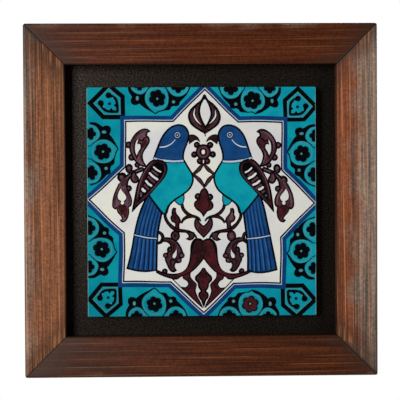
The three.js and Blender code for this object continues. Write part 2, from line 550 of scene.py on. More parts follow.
def big_heart():
    """The drooping heart whose two ends run out into stems, with the leaf and drop between them."""
    made = []
    for side, wash in ((-1, "manganese_dark"), (1, "manganese_red")):
        half = outline(*sided(
            side, 0.2,
            [(0, -35.0), (3.0, -33.4), (6.0, -33.3), (9.0, -35.2), (11.0, -39.4), (11.6, -46.0),
             (12.6, -53.0), (15.4, -59.4), (20.0, -62.5), (26.0, -63.4), (33.0, -62.6), (40.4, -60.4)],
            [(41.0, -61.6), (35.6, -64.2), (29.6, -66.2), (25.0, -67.6)],
            [(22.4, -67.4), (20.2, -65.6)],
            [(14.6, -63.6), (10.4, -61.2), (5.0, -56.0), (0, -49.6)],
            [(0, -35.0)],
        ))
        made += edged(wash, half, 1.3)
        upper, lower = sided(
            side, 0.2,
            [(0.6, -34.6), (6.0, -33.5), (9.6, -37.0), (11.3, -46.0)],
            [(9.0, -46.0), (9.6, -54.0), (15.0, -61.4), (24.0, -65.0)],
        )
        made += stroke("black", upper, 0.8, 2.2, 2.6, 0.8)
        made += stroke("manganese_red", lower, 0.8, 3.4, 3.4, 1.6)
    made += patch(
        "manganese_red",
        [(2.0, -37.0), (6.4, -35.6), (9.0, -40.0), (9.2, -46.4), (10.0, -53.0), (5.4, -52.6), (2.0, -47.0)],
    )
    made += patch(
        "manganese_dark",
        [(0.2, -36.0), (-2.6, -37.6), (-3.4, -43.0), (0.2, -48.4), (2.8, -43.6), (3.0, -38.4)],
    )
    # The wavy arms that run down to the star's lower point.
    for side in (-1, 1):
        made += edged("manganese_red", outline(*sided(
            side, 0.3,
            [(17.4, -64.6), (17.6, -67.0), (14.2, -69.6), (12.8, -72.6), (15.0, -75.6), (19.4, -75.2)],
            [(1.2, -93.0)],
            [(2.8, -88.8), (5.4, -83.8), (7.2, -78.4), (6.4, -73.0), (9.4, -69.8), (11.8, -66.2),
             (11.8, -62.2)],
            [(17.4, -64.6)],
        )), 1.1)
        vein, edge = sided(
            side, 0.3,
            [(14.0, -65.2), (12.6, -69.6), (9.8, -73.0), (13.6, -78.0)],
            [(26.8, -67.4), (23.2, -71.2), (19.5, -75.3)],
        )
        made += stroke("manganese_dark", vein, 1.0, 2.6, 3.0, 1.0)
        made += stroke("black", edge, 0.9, 0.9, 1.0)
    drop = outline(
        [(0.2, -57.6), (-1.6, -61.0), (-4.0, -64.0), (-6.4, -66.4), (-6.3, -69.0), (-4.2, -71.6),
         (-3.7, -75.0), (-1.5, -78.8), (-3.3, -80.8), (-3.2, -83.6), (-1.4, -86.2), (0.3, -91.6)],
        [(1.9, -86.2), (3.9, -83.6), (3.9, -80.8), (2.0, -78.8), (4.2, -75.0), (4.8, -71.6), (7.2, -69.0),
         (7.0, -66.4), (4.6, -64.0), (1.9, -61.0), (0.2, -57.6)],
    )
    made += edged("manganese_red", drop, 1.6)
    made += patch("manganese_dark", [(0.2, -59.6), (-3.4, -65.8), (0.2, -67.6), (3.8, -65.8)])
    made += dot("manganese_dark", (0.3, -82.2), 2.1)
    return made


def hung(points, side):
    """The right bird's tail hangs a little nearer to the middle, and lower, than the left bird's."""
    if side < 0:
        return points
    return [
        (u + 2.0 * min(1, max(0, (4 - v) / 40)), v - min(1, max(0, (4 - v) / 60))) for u, v in points
    ]


def bird(side):
    """The left bird, facing the middle."""
    made = []
    # Tail.
    tail = outline(
        [(-48.4, 6.4), (-53.6, -6.0), (-59.4, -27.0), (-63.0, -43.0), (-66.4, -58.6)],
        [(-58.4, -60.8), (-50.0, -61.4), (-40.8, -59.8)],
        [(-40.6, -44.0), (-39.6, -28.0), (-36.4, -10.4)],
        [(-48.4, 6.4)],
    )
    made += edged("cobalt", hung(tail, side), 1.7)
    for top, middle, bottom in (
        ((-47.6, 3.6), (-56.0, -28.6), (-61.8, -58.6)),
        ((-45.6, 1.2), (-52.6, -29.2), (-57.0, -59.8)),
        ((-43.2, -1.6), (-49.4, -29.8), (-52.4, -60.2)),
        ((-40.8, -4.6), (-46.2, -30.2), (-48.2, -60.4)),
        ((-38.8, -7.2), (-43.0, -30.8), (-44.4, -60.0)),
    ):
        feather = hung([top, middle, bottom], side)
        made += stroke("cobalt_dark", feather, 0.5, 1.1, 1.3)
        made += stroke("cobalt_pale", [(u + 1.5, v) for u, v in feather], 0.2, 0.9, 1.2)
    band = hung([(-60.3, -29.6), (-50.0, -31.6), (-40.3, -32.2)], side)
    made += stroke("cobalt_dark", band, 2.6, 2.8, 2.6)
    made += stroke("white_line", band, 0.8, 1.0, 0.8)
    # Thigh, behind the body.
    made += edged("turquoise", outline(
        [(-17.2, 6.6), (-16.8, 2.0), (-17.8, -2.4)],
        [(-20.4, -3.1), (-22.8, -1.6), (-25.4, 1.2)],
        [(-17.2, 6.6)],
    ), 1.0)
    # Body.
    made += edged("turquoise", outline(
        [(-41.4, 36.6), (-28.0, 34.6), (-16.8, 35.4)],
        [(-13.0, 29.0), (-10.0, 23.6), (-9.6, 17.6), (-12.4, 11.0), (-18.0, 6.0), (-25.0, 1.4),
         (-30.4, -4.0), (-33.4, -11.6)],
        [(-36.0, -10.0), (-48.4, 6.0)],
        [(-41.4, 36.6)],
    ), 1.7)
    # Head and neck.
    made += edged("cobalt", outline(
        [(-42.6, 38.0), (-39.8, 46.4), (-36.6, 55.0), (-33.3, 60.4), (-28.6, 64.7), (-22.8, 66.7),
         (-17.4, 65.8), (-13.9, 62.0), (-12.8, 57.0), (-14.2, 51.0), (-16.6, 44.6), (-17.5, 40.0),
         (-17.3, 35.6)],
        [(-29.0, 35.2), (-42.6, 38.0)],
    ), 1.6)
    collar = [(-42.6, 37.9), (-37.6, 36.4), (-32.4, 35.6), (-25.0, 35.0), (-17.3, 35.3)]
    made += stroke("cobalt_dark", collar, 3.0, 3.6, 3.2)
    made += stroke("white_line", collar, 1.4, 1.8, 1.6)
    made += stroke(
        "white", [(-24.7, 54.2), (-27.6, 51.1), (-31.2, 48.9), (-34.6, 47.9), (-38.0, 47.6)],
        0.5, 0.7, 1.0, 0.8,
    )
    rings = ((3.2, "cobalt_dark"), (2.45, "white_line"), (1.9, "cobalt_dark"), (0.7, "white_line"))
    for radius, glaze in rings:
        made += dot(glaze, (-22.9, 58.2), radius)
    # Beak.
    made += edged("manganese_dark", outline(
        [(-12.4, 58.2), (-8.2, 57.8), (-4.8, 55.6), (-2.8, 51.8)],
        [(-6.0, 53.6), (-9.0, 52.2), (-12.0, 50.2)],
        [(-12.6, 54.0), (-12.4, 58.2)],
    ), 0.8)
    made += wing(side)
    return made


def wing(side):
    """The folded wing: a brown edge round a dark panel with white bars and purple ones between them."""
    # Each bar's two ends and its width.
    bars = (
        ((-43.0, 29.8), (-37.2, 25.8), 1.4),
        ((-46.8, 24.2), (-40.4, 19.3), 1.9),
        ((-50.3, 17.3), (-46.0, 13.7), 1.9),
        ((-53.4, 10.4), (-51.7, 8.9), 2.2),
    )
    if side > 0:
        bars = (
            ((-42.3, 28.9), (-36.7, 25.2), 1.3),
            ((-45.7, 24.0), (-39.5, 20.1), 1.9),
            ((-48.9, 17.8), (-43.3, 14.5), 1.8),
            ((-51.7, 12.1), (-48.4, 10.4), 2.1),
        )
    shape = outline(
        [(-41.6, 36.9), (-46.0, 34.0), (-49.8, 29.6), (-53.6, 22.6), (-57.4, 14.0), (-59.4, 4.0),
         (-61.4, -8.2)],
        [(-56.8, -3.0), (-49.6, 4.0), (-43.6, 11.0), (-37.8, 17.2), (-33.4, 22.8), (-31.6, 28.2),
         (-32.6, 33.0), (-35.6, 35.4)],
        [(-41.6, 36.9)],
    )
    made = edged("manganese_dark", shape, 1.6)
    made += stroke(
        "manganese_wash", [(-43.8, 34.2), (-50.8, 26.4), (-55.6, 15.4), (-58.2, 2.0)],
        0.4, 0.8, 0.9, 0.4,
    )
    panel = outline(
        [(-40.2, 34.6), (-47.2, 27.6), (-51.8, 18.6), (-54.8, 9.4), (-57.4, -0.8)],
        [(-50.6, 6.2), (-42.8, 14.2), (-36.4, 21.4), (-33.8, 27.4), (-35.2, 32.4), (-40.2, 34.6)],
    )
    made.append(("black", panel))
    made += stroke(
        "manganese", [(-57.6, -2.8), (-47.0, 8.2), (-37.6, 18.6), (-33.2, 26.0), (-33.6, 31.2)],
        0.3, 1.0, 1.2, 1.2, 0.7,
    )
    for start, end, width in bars:
        low = (start[0] - 1.9, start[1] - 3.0)
        middle = ((start[0] + end[0]) / 2 - 0.2, (start[1] + end[1]) / 2 - 0.4)
        made += stroke("manganese", [low, (end[0] - 2.3, end[1] - 3.2)], 2.2, 2.0)
        made += stroke("manganese_wash", [low, (end[0] - 2.3, end[1] - 3.2)], 0.7)
        made += stroke("black", [start, middle, end], width + 1.4)
        for glaze, extra in (("black", 0.7), ("white", 0.0)):
            made += [(glaze, arc(tip, width / 2 + extra)) for tip in (start, end)]
        made += stroke("white", [start, middle, end], width)
    made += dot("pale_dot", (-54.6, 4.8), 0.7)
    return made


def outer_scrolls(side):
    """The two leaves and their beads behind the left bird's wing."""
    drop = (1.3, -2.5) if side > 0 else (0.0, 0.0)
    ground, vein = ("manganese", "manganese_wash") if side > 0 else ("manganese_wash", "manganese")
    # Upper leaf.
    made = bead((-65.2, 49.0), 2.4) + bead((-62.4, 38.4), 2.4) + bead((-57.6, 31.7), 1.9)
    made += edged(ground, outline(
        [(-49.8, 30.3), (-54.6, 31.4), (-58.6, 34.6), (-61.8, 39.6), (-63.7, 44.6), (-63.6, 50.0),
         (-61.2, 55.4), (-57.4, 59.8), (-53.0, 62.3), (-49.4, 62.4), (-47.2, 60.9)],
        [(-49.2, 59.6), (-49.8, 57.0)],
        [(-47.6, 55.0), (-47.2, 51.8), (-49.2, 47.8), (-51.8, 44.0), (-53.2, 39.6), (-52.2, 34.4),
         (-49.8, 30.3)],
    ), 1.5)
    made += stroke(
        vein, [(-61.8, 46.0), (-61.4, 51.6), (-58.0, 57.2), (-53.0, 60.4), (-49.8, 60.4)],
        0.6, 1.4, 1.8, 1.6, 0.6,
    )
    made += patch(
        "manganese_red",
        [(-52.8, 52.0), (-50.0, 53.8), (-48.4, 51.8), (-50.2, 48.0), (-53.0, 46.4)],
    )
    made += stroke(vein, [(-54.2, 44.6), (-54.6, 38.0), (-52.4, 33.0)], 0.8, 1.2, 0.5)
    made += stroke(
        "black", [(-56.4, 54.2), (-53.6, 52.4), (-51.4, 54.6), (-48.4, 55.6)],
        0.9, 1.3, 1.3, 0.9,
    )
    gap = outline(
        [(-56.3, 54.5), (-58.6, 51.6), (-59.5, 46.6), (-59.2, 42.8), (-58.0, 39.8)],
        [(-56.4, 43.2), (-54.5, 46.4), (-54.8, 49.4)],
        [(-56.6, 49.9), (-57.6, 49.4)],
        [(-57.2, 51.4), (-56.3, 54.5)],
    )
    made += [("manganese_dark", grown(gap, 1.6))] + slit(gap)
    # The trunk from the wing, its two curls and the branch to the lower leaf.
    made += edged("manganese", outline(
        [(-51.0, 29.4), (-55.6, 28.9), (-60.0, 26.9), (-63.2, 26.4)],
        [(-62.2, 28.8), (-62.8, 31.2), (-65.0, 32.2), (-67.0, 30.4), (-67.2, 27.6), (-65.8, 25.4),
         (-63.6, 24.4)],
        [(-65.6, 23.4), (-67.8, 21.8)],
        [(u + drop[0], v + drop[1]) for u, v in (
            (-68.6, 24.0), (-71.0, 24.8), (-73.6, 23.4), (-74.4, 20.6), (-73.0, 18.4), (-71.6, 17.4),
        )],
        [(-73.0, 14.0), (-66.6, 14.0)],
        [(-66.0, 17.4), (-64.2, 20.6), (-61.6, 23.0), (-58.0, 24.6), (-53.2, 26.4)],
        [(-51.0, 29.4)],
    ), 1.5)
    for spot, radius in (((-64.9, 29.4), 2.6), ((-71.4 + drop[0], 21.4 + drop[1]), 2.9)):
        made += stroke("black", arc(spot, radius - 0.5, 250, -20), 0.4, 1.0, 1.1, 0.9)
        made += dot("manganese_wash", spot, radius * 0.4)
    made += stroke(
        "manganese_wash", [(-53.6, 27.8), (-58.2, 26.2), (-63.8, 23.2), (-68.0, 18.6)],
        0.9, 1.2, 1.0, 0.6,
    )
    made += edged("manganese", outline(
        [(-61.8, 25.0), (-63.2, 21.6), (-62.8, 18.0), (-60.4, 16.0), (-57.6, 17.0), (-57.2, 19.8),
         (-58.8, 22.4), (-59.6, 25.4)],
    ), 1.5)
    made += stroke("manganese_wash", [(-60.8, 23.4), (-61.6, 20.2), (-60.4, 17.8)], 0.7, 1.3, 0.9)
    # Lower leaf.
    made += bead((-65.3, 11.0), 2.2)
    made += edged(ground, outline(
        [(-72.8, 16.6), (-75.6, 11.0), (-77.8, 5.8), (-79.0, 0.0), (-78.9, -4.2), (-77.0, -6.1),
         (-75.6, -5.2)],
        [(-74.2, -9.0), (-71.2, -12.6), (-70.2, -15.4), (-72.0, -16.2)],
        [(-70.8, -17.6), (-68.0, -17.0), (-65.8, -13.8), (-64.9, -9.4), (-65.3, -4.8)],
        [(-63.4, -3.6), (-62.6, -0.4), (-63.2, 3.2), (-65.2, 7.6), (-67.0, 11.6), (-66.8, 16.6)],
        [(-72.8, 16.6)],
    ), 1.3)
    made += patch("manganese", [(-71.8, 18.4), (-71.8, 13.6), (-67.8, 13.6), (-67.0, 18.4)])
    made += stroke(
        vein, [(-69.6, 17.6), (-71.6, 13.6), (-75.6, 7.0), (-77.3, 0.0), (-77.0, -4.2)],
        0.6, 0.8, 1.2, 1.9, 0.8,
    )
    made += stroke(vein, [(-69.4, 11.0), (-65.6, 4.6), (-64.4, 0.0), (-65.6, -2.6)], 1.2, 2.0, 1.7, 0.8)
    made += patch(
        "manganese_dark",
        [(-74.4, -3.4), (-70.6, -2.8), (-67.0, -4.0), (-68.6, -9.0), (-70.6, -11.4), (-73.2, -8.0)],
    )
    made += patch(
        "manganese_red",
        [(-69.4, -6.0), (-66.4, -5.6), (-66.0, -10.0), (-67.4, -14.4), (-69.4, -12.4)],
    )
    made += slit(outline(
        [(-72.2, 11.2), (-74.0, 8.0), (-74.8, 4.6), (-74.2, 2.0), (-72.6, 0.9)],
        [(-71.6, 0.2), (-72.3, -1.4), (-70.6, -2.8), (-68.9, -1.4), (-69.6, 0.2)],
        [(-68.0, 1.4), (-67.2, 3.4), (-68.4, 6.0), (-70.6, 8.6), (-72.2, 11.2)],
    ))
    return made


def inner_scrolls(side):
    """The scrolls under the left bird, between its tail and the middle."""
    wash, ground = ("manganese", "manganese_wash") if side > 0 else ("manganese_red", "manganese_dark")
    # Upper stem from the thigh, its hook and the small leaf.
    made = stem(
        [(-18.5, -2.8), (-17.5, -6.2), (-14.6, -9.8), (-10.6, -12.5), (-6.6, -13.5), (-3.6, -14.9),
         (-1.7, -17.6)],
        3.0, 3.0, 3.2, 3.4, 2.8, 2.2, 1.2,
    )
    made += stem([(-9.6, -12.8), (-13.6, -13.6), (-16.8, -15.6), (-18.6, -18.2)], 3.4, 3.2, 2.8, 2.0)
    made += dot("black", (-18.5, -18.1), 1.1)
    # Leg and lower stem, which ends in a hooked leaf.
    made += stem(
        [(-32.9, -9.0), (-33.2, -13.4), (-31.0, -18.0), (-26.6, -22.4), (-21.6, -25.0), (-15.6, -26.0),
         (-10.4, -27.4), (-6.9, -30.2), (-5.3, -34.2)],
        2.4, 3.0, 3.0, 3.6, 3.6, 3.2, 2.6, 2.0, 1.6,
    )
    made += stroke("black", [(-26.4, 0.8), (-30.0, -4.4), (-32.0, -10.4)], 0.9, 1.3, 1.6)
    made += edged("manganese", outline(
        [(-15.4, -26.4), (-13.0, -28.8), (-12.2, -31.4), (-14.4, -33.0)],
        [(-11.8, -34.0), (-8.8, -32.8), (-7.6, -30.4), (-8.0, -27.8)],
        [(-15.4, -26.4)],
    ), 1.3)
    made += edged(wash, outline(
        [(-23.9, -5.2), (-26.2, -6.4), (-27.0, -9.2), (-26.8, -11.8)],
        [(-28.0, -14.0), (-27.0, -16.8), (-24.4, -18.2), (-23.8, -20.4), (-24.6, -23.2)],
        [(-21.4, -23.2), (-21.2, -20.0), (-19.9, -17.2), (-20.8, -14.2), (-23.4, -11.0), (-24.4, -8.4),
         (-23.9, -5.2)],
    ))
    made += patch(ground, [(-25.6, -9.0), (-26.4, -14.0), (-24.4, -16.6), (-23.0, -15.0)])
    made += edged("manganese", arc((-24.6, -29.8), 3.5, squash=1.2), 1.5)
    made += dot(ground, (-24.8, -29.6), 1.5, squash=1.4)
    # The ring that the tail half hides.
    made += stem(arc((-40.2, -31.4), 4.9, -88, 88), 2.6, 3.2, 3.2, 2.6)
    # Lower leaf.
    made += edged("manganese", outline(
        [(-35.4, -31.9), (-30.6, -31.6), (-26.0, -33.4), (-23.0, -36.0), (-20.2, -40.6), (-18.6, -45.0)],
        [(-18.6, -48.4), (-20.0, -49.7)],
        [(-20.4, -51.8), (-22.2, -53.2), (-24.6, -52.9)],
        [(-25.6, -55.6), (-25.0, -58.4), (-23.8, -59.8)],
        [(-25.6, -61.0), (-28.2, -60.0), (-30.6, -56.4), (-31.8, -53.6)],
        [(-32.8, -51.6), (-33.2, -48.9)],
        [(-33.4, -46.6), (-31.0, -44.6)],
        [(-31.3, -42.0), (-30.2, -39.9), (-28.4, -40.2)],
        [(-29.2, -37.0), (-31.8, -34.9), (-35.4, -34.4)],
        [(-35.4, -31.9)],
    ), 1.5)
    berries = (((-33.1, -47.2), 1.9), ((-19.4, -47.2), 2.2), ((-21.6, -51.3), 2.0), ((-29.4, -42.0), 1.4))
    for spot, radius in berries:
        made += edged("manganese", arc(spot, radius), 1.1)
        made += dot("manganese_wash", spot, radius * 0.4)
    made += stroke(
        "manganese_dark", [(-31.0, -33.4), (-26.4, -37.4), (-26.0, -42.0), (-29.4, -47.0)],
        0.8, 2.2, 2.6, 1.0,
    )
    made += stroke(
        "manganese_dark", [(-26.8, -59.0), (-28.6, -54.6), (-28.2, -51.2), (-23.0, -51.4)],
        0.8, 2.0, 2.2, 1.4,
    )
    made += slit(outline(
        [(-23.8, -41.2), (-24.9, -43.8), (-26.8, -46.4), (-27.2, -48.6), (-25.8, -49.7), (-24.3, -48.6),
         (-23.6, -45.6), (-23.8, -41.2)],
        [(-23.8, -41.2)],
    ))
    made += dot("black", (-24.9, -60.2), 1.1)
    # Bead on the heart's stem.
    made += bead((-33.4, -60.9), 1.9, "manganese_dark")
    return made


def mirrored(shapes):
    """Shapes flipped across the tile's middle line."""
    return [(glaze, [(-u, v) for u, v in points]) for glaze, points in shapes]


def placed(shapes, shift, turn=0.0, flip=False, scale=1.0):
    """Shapes drawn about their own middle, turned in degrees and moved to where they belong."""
    cos, sin = math.cos(math.radians(turn)), math.sin(math.radians(turn))
    return [
        (glaze, [
            (shift[0] + scale * (u * cos - v * sin), shift[1] + scale * (u * sin + v * cos))
            for u, v in points
        ])
        for glaze, points in (mirrored(shapes) if flip else shapes)
    ]


def border():
    """The half flowers along the tile's four sides, and the cartouches in its corners."""
    made = []
    # Where each flower sits, its turn, whether it is flipped, its ogive's tip and how far its petals reach.
    flowers = (
        (-40.1, 89.9, 0, False, (-2.2, -12.6), 7.5), (43.0, 88.0, 0, True, (-1.8, -11.2), 8.0),
        (86.4, 41.8, -90, False, (-1.6, -12.2), 7.5), (85.8, -43.4, -90, True, (-1.6, -12.2), 7.5),
        (41.2, -90.1, 180, False, (-1.2, -11.4), 7.4), (-42.8, -89.8, 180, True, (0.0, -13.6), 7.0),
        (-88.8, -41.7, 90, False, (-2.2, -12.4), 7.5), (-87.2, 43.5, 90, True, (-2.2, -12.4), 7.5),
    )
    for u, v, turn, flip, tip, reach in flowers:
        heart = "manganese_red" if u > 0 and v < -80 else "black"
        made += placed(border_flower(heart, tip, reach), (u, v), turn, flip)
    for u, v, turn, scale, left_slip, right_slip in (
        (-81.8, 85.2, 0, 1.0, 0.0, 0.0), (82.4, 82.8, -90, 0.93, 0.0, 0.0),
        (81.6, -84.9, 180, 0.97, 1.8, 0.0), (-83.1, -83.8, 90, 0.95, 2.0, 2.0),
    ):
        made += placed(cartouche(left_slip, right_slip), (u, v), turn, scale=scale)
    return made


def picture():
    """Every shape of the painting, from the ground up."""
    made = [("turquoise", straight([(-110, -110), (110, -110), (110, 110), (-110, 110)]))]
    made += border()
    made += star_ground()
    made += flame() + small_rosette()
    for side in (-1, 1):
        half = outer_scrolls(side) + inner_scrolls(side) + bird(side)
        made += mirrored(half) if side > 0 else half
    made += diamond_knot() + palmette() + heart() + big_heart()
    return made


def linear(colour):
    """An sRGB hex colour as linear red, green and blue."""
    parts = [int(colour[i:i + 2], 16) / 255 for i in (1, 3, 5)]
    return tuple(p / 12.92 if p <= 0.04045 else ((p + 0.055) / 1.055) ** 2.4 for p in parts)


def tinted(colour, *factors):
    """A colour with its opacity, made lighter or darker by one factor or by one for each of its parts."""
    factors = factors if len(factors) == 3 else factors * 3
    return tuple(c * f for c, f in zip(colour, factors)) + (1.0,)


def toned(*tones):
    """Fixed sRGB tones as the colours of a mix, from its low end to its high end."""
    return {6 + k: tinted(linear(tone), 1) for k, tone in enumerate(tones)}


def add_node(tree, kind, inputs, **settings):
    """One node with its settings. An input takes a value, or a link where it is given a socket."""
    node = tree.nodes.new("ShaderNode" + kind)
    for name, value in settings.items():
        setattr(node, name, value)
    for key, value in inputs.items():
        if isinstance(value, bpy.types.NodeSocket):
            tree.links.new(value, node.inputs[key])
        else:
            node.inputs[key].default_value = value
    return node


def new_material(name, roughness, ior, **more):
    """An empty material with its shader, its node tree and the object's coordinates."""
    made = bpy.data.materials.new(name)
    made.use_nodes = True
    tree = made.node_tree
    shader = tree.nodes["Principled BSDF"]
    shader.inputs["Roughness"].default_value = roughness
    shader.inputs["IOR"].default_value = ior
    for socket, value in more.items():
        shader.inputs[socket.replace("_", " ")].default_value = value
    place = add_node(tree, "TexCoord", {}).outputs["Object"]
    return made, tree, shader, place


def glaze_material(name, colour, drift, cloud, mottle):
    """A coloured glaze on white slip: glossy, and clouded where it ran thicker or thinner."""
    made, tree, shader, place = new_material(name, roughness=0.12, ior=1.5)
    clouds = add_node(tree, "TexNoise", {"Vector": place, "Scale": 1 / (cloud * MM), "Detail": 2.5})
    amount = add_node(
        tree, "MapRange", {0: clouds.outputs[0], 1: 0.34, 2: 0.66}, interpolation_type="SMOOTHSTEP",
    )
    ends = {6: tinted(colour, 1), 7: tinted(colour, *drift)}
    clouded = add_node(tree, "Mix", {0: amount.outputs[0], **ends}, data_type="RGBA")
    # Brush marks pool in spots about 1.3 mm across.
    spots = add_node(tree, "TexNoise", {"Vector": place, "Scale": 1 / (1.3 * MM), "Detail": 2.0})
    shade = add_node(tree, "MapRange", {0: spots.outputs[0], 1: 0.3, 2: 0.7, 3: 1 - mottle, 4: 1 + mottle})
    if "turquoise" in name:
        # The copper glaze is darker towards the tile's left side and its bottom edge, most at its lower
        # left corner.
        sides = add_node(tree, "SeparateXYZ", {0: place})
        for axis, low, high, darkest in ((2, -235, -205, 0.86), (0, -90, -10, 0.83)):
            darkening = add_node(
                tree, "MapRange", {0: sides.outputs[axis], 1: low * MM, 2: high * MM, 3: darkest, 4: 1.0},
            )
            shade = add_node(tree, "Math", {0: shade.outputs[0], 1: darkening.outputs[0]}, operation="MULTIPLY")
    painted = add_node(
        tree, "Mix", {0: 1.0, 6: clouded.outputs[2], 7: shade.outputs[0]},
        data_type="RGBA", blend_type="MULTIPLY",
    )
    tree.links.new(painted.outputs[2], shader.inputs["Base Color"])
    # The glaze pool's own slight waviness, in swells about 9 mm long.
    swell = add_node(tree, "TexNoise", {"Vector": place, "Scale": 1 / (9 * MM), "Detail": 1.0})
    bump = add_node(tree, "Bump", {"Height": swell.outputs[0], "Strength": 0.15, "Distance": 0.15 * MM})
    tree.links.new(bump.outputs[0], shader.inputs["Normal"])
    return made


def clay_material():
    """The fired body of the tile: pale stonepaste, matt and slightly gritty, bare on the sides and back."""
    made, tree, shader, place = new_material("stonepaste_body", roughness=0.85, ior=1.5)
    grit = add_node(tree, "TexNoise", {"Vector": place, "Scale": 1 / (0.8 * MM)})
    colour = add_node(tree, "Mix", {0: grit.outputs[0], **toned(*CLAY_TONES)}, data_type="RGBA")
    tree.links.new(colour.outputs[2], shader.inputs["Base Color"])
    return made


def wood_material(
    name, along, stain, streak, worn, worn_from, worn_to, pooled_from, pooled_to, lined, seed
):
    """Stained, planed softwood: growth lines that took little stain, dark arrises, a rubbed outer part."""
    made, tree, shader, place = new_material(name, roughness=0.5, ior=1.5, Specular_IOR_Level=0.16)
    upright = along == "Z"
    # Distances from the frame's centre tell where the edges and the mitres are.
    parts = add_node(tree, "SeparateXYZ", {0: place}).outputs
    height = add_node(tree, "Math", {0: parts[2], 1: FRAME_CENTRE.z}, operation="SUBTRACT").outputs[0]
    from_x = add_node(tree, "Math", {0: parts[0]}, operation="ABSOLUTE").outputs[0]
    from_z = add_node(tree, "Math", {0: height}, operation="ABSOLUTE").outputs[0]
    across, length = (from_x, height) if upright else (from_z, parts[0])
    mitre = add_node(tree, "Math", {0: from_x, 1: from_z}, operation="SUBTRACT")
    mitre = add_node(tree, "Math", {0: mitre.outputs[0]}, operation="ABSOLUTE").outputs[0]

    # Noise drawn out along the rail: wide bands of stain, the fine grain in them, and broken streaks, each
    # with its length and width in millimetres and its detail.
    noises = (("bands", 240, 8.0, 3.0), ("grain", 70, 1.1, 2.0), ("streaks", 50, 3.0, 2.0))
    drawn = {}
    for key, long, wide, detail in noises:
        scale = [1 / (wide * MM)] * 3
        scale["XYZ".index(along)] = 1 / (long * MM)
        shift = (seed, 2 * seed, 3 * seed)
        spot = add_node(tree, "Mapping", {"Vector": place, "Scale": scale, "Location": shift})
        noise = add_node(tree, "TexNoise", {"Vector": spot.outputs[0], "Scale": 1.0, "Detail": detail})
        drawn[key] = noise.outputs[0]
    pores = add_node(tree, "TexNoise", {"Vector": place, "Scale": 1 / (1.9 * MM), "Detail": 3.0})
    patches = add_node(tree, "TexNoise", {"Vector": place, "Scale": 1 / (30 * MM), "Detail": 2.0})
    wander = add_node(tree, "MapRange", {0: patches.outputs[0], 1: 0.3, 2: 0.7, 3: -7 * MM, 4: 7 * MM})

    # The stain's own light and dark: its bands, the grain, the pores and where more of it pooled.
    shade = add_node(tree, "MapRange", {0: drawn["bands"], 1: 0.36, 2: 0.64, 3: 0.8, 4: 1.18})
    for source, low, high, dark, pale in (
        (drawn["grain"], 0.32, 0.68, 0.5, 1.5),
        (pores.outputs[0], 0.34, 0.66, 0.74, 1.26),
        (length, pooled_from * MM, pooled_to * MM, 1.08, 0.78),
    ):
        factor = add_node(tree, "MapRange", {0: source, 1: low, 2: high, 3: dark, 4: pale})
        shade = add_node(tree, "Math", {0: shade.outputs[0], 1: factor.outputs[0]}, operation="MULTIPLY")

    # The rubbed part is greyer, and it fades in across the rail.
    rubbed = add_node(tree, "Math", {0: across, 1: wander.outputs[0]}, operation="ADD")
    rubbed = add_node(
        tree, "MapRange", {0: rubbed.outputs[0], 1: worn_from * MM, 2: worn_to * MM},
        interpolation_type="SMOOTHSTEP",
    )
    # On the side rails this stain is paler, partly a painted sheen of the side lights along the upright
    # grain.
    ends = {6: tinted(stain, 1), 7: tinted(worn, 1)}
    colour = add_node(tree, "Mix", {0: rubbed.outputs[0], **ends}, data_type="RGBA")
    colour = add_node(
        tree, "Mix", {0: 1.0, 6: colour.outputs[2], 7: shade.outputs[0]},
        data_type="RGBA", blend_type="MULTIPLY",
    )

    # Growth lines, thin, pale and broken, which run a degree or so out of true.
    slant = (0.0, math.radians(RING_LEAN), 0.0)
    shift = (seed * MM, 0, seed * MM)
    lean = add_node(tree, "Mapping", {"Vector": place, "Rotation": slant, "Location": shift})
    stretch = [1.0, 1.0, 1.0]
    stretch["XYZ".index(along)] = 0.06
    drawn_out = add_node(tree, "Mapping", {"Vector": lean.outputs[0], "Scale": stretch})
    rings = add_node(tree, "TexWave", {
        "Vector": drawn_out.outputs[0], "Scale": WAVE_TURN / (RING_SPACING * MM), "Distortion": 2.2,
        "Detail": 2.0, "Detail Scale": 0.5,
    }, bands_direction="X" if upright else "Z")
    peaks = add_node(tree, "MapRange", {0: rings.outputs["Fac"], 1: 0.94, 2: 0.998, 3: 0.0, 4: lined})
    broken = add_node(tree, "MapRange", {0: drawn["streaks"], 1: 0.38, 2: 0.6})
    lines = add_node(tree, "Math", {0: peaks.outputs[0], 1: broken.outputs[0]}, operation="MULTIPLY")

    # Near the mitres the end grain drank more stain and went grey and dark.
    beside = add_node(tree, "Math", {0: mitre, 1: wander.outputs[0]}, operation="ADD").outputs[0]
    soaked = add_node(tree, "MapRange", {0: beside, 1: 27 * MM, 2: 2 * MM, 3: 0.0, 4: 0.68})
    # Grey wax was wiped into parts of the joints.
    wiped = add_node(tree, "MapRange", {0: mitre, 1: 4 * MM, 2: 0.5 * MM, 3: 0.0, 4: 0.75})
    smeared = add_node(tree, "MapRange", {0: patches.outputs[0], 1: 0.46, 2: 0.56})
    wiped = add_node(tree, "Math", {0: wiped.outputs[0], 1: smeared.outputs[0]}, operation="MULTIPLY")
    layers = [
        # The growth lines are lighter on the side rails than on the top and bottom ones, a painted sheen of
        # the side lights along the upright grain.
        (lines, tinted(streak, 1.5 if upright else 0.9)),
        (soaked, tinted(linear(SOAKED_END), 1)),
        (wiped, tinted(linear(GREY_WAX), 1)),
    ]
    # The side rails kept bare tan streaks beside their mitres, where no wax went.
    if upright:
        tan = add_node(tree, "MapRange", {0: beside, 1: 9 * MM, 2: 3 * MM})
        thin = add_node(tree, "MapRange", {0: drawn["grain"], 1: 0.5, 2: 0.66, 3: 0.0, 4: 0.75})
        clean = add_node(tree, "MapRange", {0: patches.outputs[0], 1: 0.54, 2: 0.46})
        for factor in (thin, clean):
            tan = add_node(tree, "Math", {0: tan.outputs[0], 1: factor.outputs[0]}, operation="MULTIPLY")
        layers.append((tan, tinted(linear(BARE_TAN), 1)))
